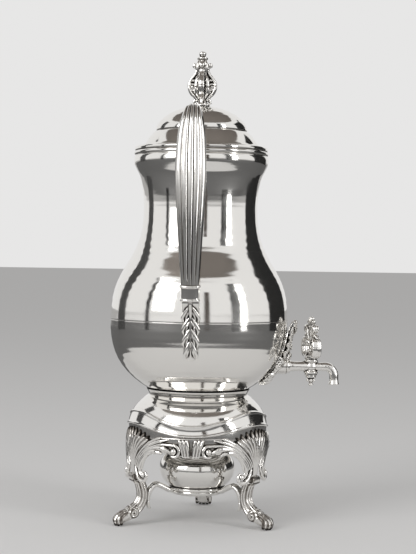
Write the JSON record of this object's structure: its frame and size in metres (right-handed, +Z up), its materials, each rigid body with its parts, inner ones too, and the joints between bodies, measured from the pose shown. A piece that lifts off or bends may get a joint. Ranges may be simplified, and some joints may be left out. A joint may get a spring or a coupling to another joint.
{
  "type": "coffee urn",
  "caption": "Pear-shaped silver-plated coffee urn with scroll handles, lift-off lid, plug tap and openwork key, on a legged stand with a spirit burner.",
  "frame": {"origin": "centre of the overall box at table level, under the urn between its axis and the tap", "axes": "+Z up, +X from the urn's axis towards the tap, -Y towards the front handle"},
  "size_m": [0.2108, 0.2126, 0.4307],
  "materials": {
    "silver_plate": "polished silver plate with dark tarnish in the recesses",
    "bare_brass": "unplated, dull",
    "leather_seal": "oiled",
    "cotton_wick": "woven cotton"
  },
  "bodies": {
    "stand": {"stand_collar": "silver_plate", "stand_shell": "silver_plate", "stand_reeding": "silver_plate", "apron_front": "silver_plate", "apron_right": "silver_plate", "apron_left": "silver_plate", "leg_rear": "silver_plate", "leg_left": "silver_plate", "leg_right": "silver_plate", "burner_ring": "silver_plate", "burner_arm_rear": "silver_plate", "burner_arm_left": "silver_plate", "burner_arm_right": "silver_plate"},
    "urn": {"urn_body_lower": "silver_plate", "urn_body_upper": "silver_plate", "urn_foot": "silver_plate", "urn_rim": "silver_plate", "handle_grip_front": "silver_plate", "handle_grip_rear": "silver_plate", "handle_socket_front": "silver_plate", "handle_socket_rear": "silver_plate", "handle_ferrule_front": "silver_plate", "handle_ferrule_rear": "silver_plate", "handle_bracket_front": "silver_plate", "handle_bracket_rear": "silver_plate", "tap_escutcheon": "silver_plate", "tap_boss": "silver_plate", "tap_body": "silver_plate", "tap_saddle": "bare_brass", "tap_seal": "leather_seal", "tap_nut": "bare_brass"},
    "tap_key": {"tap_plug": "silver_plate", "tap_key": "silver_plate", "tap_washer": "silver_plate", "tap_acorn": "silver_plate"},
    "lid": {"lid_shell": "silver_plate", "lid_bezel": "silver_plate", "lid_finial": "silver_plate", "lid_finial_nut": "bare_brass"},
    "burner": {"burner_bowl": "silver_plate", "burner_cover": "silver_plate", "burner_wick_tube": "silver_plate", "burner_wick": "cotton_wick"},
    "snuffer": {"burner_snuffer": "silver_plate"}
  },
  "joints": [
    {"name": "urn_lift", "type": "slide", "parent": "stand", "child": "urn", "axis": [0, 0, 1], "range_m": [0, 0.06]},
    {"name": "lid_lift", "type": "slide", "parent": "urn", "child": "lid", "axis": [0, 0, 1], "range_m": [0, 0.05]},
    {"name": "tap_turn", "type": "hinge", "parent": "urn", "child": "tap_key", "pos_m": [0.07935, 0, 0.1435], "axis": [0, 0, -1], "range_deg": [0, 90]},
    {"name": "burner_lift", "type": "slide", "parent": "stand", "child": "burner", "axis": [0, 0, 1], "range_m": [0, 0.012]},
    {"name": "snuffer_lift", "type": "slide", "parent": "burner", "child": "snuffer", "axis": [0, 0, 1], "range_m": [0, 0.012]}
  ]
}
